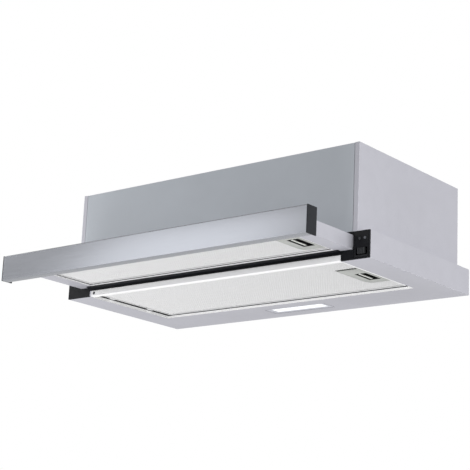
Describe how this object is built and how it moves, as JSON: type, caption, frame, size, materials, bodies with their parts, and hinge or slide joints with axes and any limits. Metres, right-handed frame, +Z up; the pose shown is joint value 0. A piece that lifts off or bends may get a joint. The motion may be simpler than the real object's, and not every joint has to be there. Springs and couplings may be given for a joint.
{
  "type": "under cabinet range hood",
  "caption": "Slim under cabinet range hood with a pull-out filter drawer, steel front strip, tilting grease filters, lamp, side control block, blower and top duct collar.",
  "frame": {"origin": "centre of the four cabinet screw holes on the top sheet's upper face", "axes": "+Z up through the duct collar, -Y towards the cook, +X to the right of someone facing the hood"},
  "size_m": [0.598, 0.4246, 0.203],
  "materials": {
    "silver_paint": "satin silver-grey powder coat",
    "white_trim": "white powder coat",
    "brushed_front": "fine horizontal brushing, satin",
    "black_plastic": "fine moulded texture, satin",
    "lamp_grey": "light grey moulded bezel",
    "slate_plastic": "fine moulded texture, satin",
    "fascia_gloss": "semi-gloss moulded",
    "control_grey": "satin moulded",
    "filter_mesh": "bright layered expanded mesh",
    "filter_frame": "bright rolled sheet",
    "latch_grey": "warm grey moulded",
    "zinc_steel": "zinc plated sheet",
    "bright_steel": "polished steel",
    "screw_steel": "zinc plated screws",
    "dark_screw": "black oxide screw",
    "cage_plastic": "natural acetal with steel balls",
    "blower_plastic": "glass-filled moulding",
    "wheel_plastic": "natural polypropylene",
    "motor_steel": "lacquered steel can",
    "capacitor_white": "moulded can",
    "switch_body": "moulded",
    "circuit_board": "solder resist",
    "lamp_diffuser": "opal diffuser"
  },
  "bodies": {
    "hood": {"back_sheet": "silver_paint", "blower_case_left": "blower_plastic", "blower_case_right": "blower_plastic", "button_board": "circuit_board", "cable_gland": "black_plastic", "capacitor": "capacitor_white", "capacitor_clip": "zinc_steel", "control_fascia": "fascia_gloss", "control_housing": "black_plastic", "corner_cap_left": "black_plastic", "crossbar_screw": "dark_screw", "drawer_wiper": "black_plastic", "exhaust_collar": "blower_plastic", "flap_pin": "bright_steel", "front_crossbar": "white_trim", "front_sheet": "silver_paint", "housing_screws": "screw_steel", "inlet_rings": "zinc_steel", "lamp_bezel": "lamp_grey", "lamp_diffuser": "lamp_diffuser", "led_board": "circuit_board", "led_driver": "capacitor_white", "microswitch": "black_plastic", "motor": "motor_steel", "motor_bracket": "zinc_steel", "pan": "silver_paint", "side_panel_left": "silver_paint", "side_panel_right": "silver_paint", "slide_channels": "zinc_steel", "speed_switch": "switch_body", "terminal_block": "capacitor_white", "terminal_box": "black_plastic", "terminal_cover": "black_plastic", "top_sheet": "silver_paint"},
    "drawer": {"drawer_front": "brushed_front", "end_cap_left": "slate_plastic", "end_cap_right": "slate_plastic", "drawer_frame": "silver_paint", "drawer_cover": "silver_paint", "drawer_screws": "screw_steel", "slide_members": "zinc_steel"},
    "ball_cages": {"ball_cages": "cage_plastic"},
    "rear_filter": {"rear_filter_frame": "filter_frame", "rear_filter_mesh": "filter_mesh", "rear_latch_plate": "latch_grey", "rear_latch_spring": "bright_steel"},
    "rear_latch": {"rear_latch_slide": "latch_grey"},
    "front_filter": {"front_filter_frame": "filter_frame", "front_filter_mesh": "filter_mesh", "front_latch_plate": "latch_grey", "front_latch_spring": "bright_steel"},
    "front_latch": {"front_latch_slide": "latch_grey"},
    "impeller": {"impeller": "wheel_plastic", "motor_shaft": "bright_steel"},
    "flap_front": {"flap_front": "wheel_plastic"},
    "flap_rear": {"flap_rear": "wheel_plastic"},
    "speed_slider": {"speed_slider": "control_grey"},
    "light_button": {"light_button": "control_grey"},
    "fan_button": {"fan_button": "control_grey"},
    "switch_plunger": {"microswitch_plunger": "control_grey"}
  },
  "joints": [
    {"name": "drawer_slide", "type": "slide", "parent": "hood", "child": "drawer", "axis": [0, -1, 0], "range_m": [-0.1265, 0]},
    {"name": "ball_cage_slide", "type": "slide", "parent": "hood", "child": "ball_cages", "axis": [0, -1, 0], "range_m": [-0.0634, 0]},
    {"name": "rear_filter_tilt", "type": "hinge", "parent": "hood", "child": "rear_filter", "pos_m": [-0.245, -0.0341, -0.17], "axis": [0, 1, 0], "range_deg": [0, 60]},
    {"name": "front_filter_tilt", "type": "hinge", "parent": "drawer", "child": "front_filter", "pos_m": [-0.2395, -0.2045, -0.1575], "axis": [0, 1, 0], "range_deg": [0, 60]},
    {"name": "rear_latch_slide", "type": "slide", "parent": "rear_filter", "child": "rear_latch", "axis": [1, 0, 0], "range_m": [-0.004, 0], "stiffness_N_per_m": 300, "springref_m": 0.004, "deforming": ["rear_latch_spring"]},
    {"name": "front_latch_slide", "type": "slide", "parent": "front_filter", "child": "front_latch", "axis": [1, 0, 0], "range_m": [-0.004, 0], "stiffness_N_per_m": 300, "springref_m": 0.004, "deforming": ["front_latch_spring"]},
    {"name": "impeller_spin", "type": "hinge", "parent": "hood", "child": "impeller", "pos_m": [0, -0.0105, -0.073], "axis": [1, 0, 0], "continuous": true},
    {"name": "flap_front_swing", "type": "hinge", "parent": "hood", "child": "flap_front", "pos_m": [0, 0, 0.015], "axis": [-1, 0, 0], "range_deg": [0, 75]},
    {"name": "flap_rear_swing", "type": "hinge", "parent": "hood", "child": "flap_rear", "pos_m": [0, 0, 0.015], "axis": [1, 0, 0], "range_deg": [0, 75]},
    {"name": "speed_slide", "type": "slide", "parent": "hood", "child": "speed_slider", "axis": [1, 0, 0], "range_m": [-0.0032, 0.0032]},
    {"name": "light_button_press", "type": "slide", "parent": "hood", "child": "light_button", "axis": [0, 1, 0], "range_m": [0, 0.0008], "stiffness_N_per_m": 500, "springref_m": -0.0006},
    {"name": "fan_button_press", "type": "slide", "parent": "hood", "child": "fan_button", "axis": [0, 1, 0], "range_m": [0, 0.0008], "stiffness_N_per_m": 500, "springref_m": -0.0006},
    {"name": "microswitch_press", "type": "slide", "parent": "hood", "child": "switch_plunger", "axis": [0, 1, 0], "range_m": [0, 0.0015], "stiffness_N_per_m": 300, "springref_m": -0.001}
  ],
  "couplings": [
    {"joint": "ball_cage_slide", "follows": "drawer_slide", "ratio": 0.5}
  ]
}
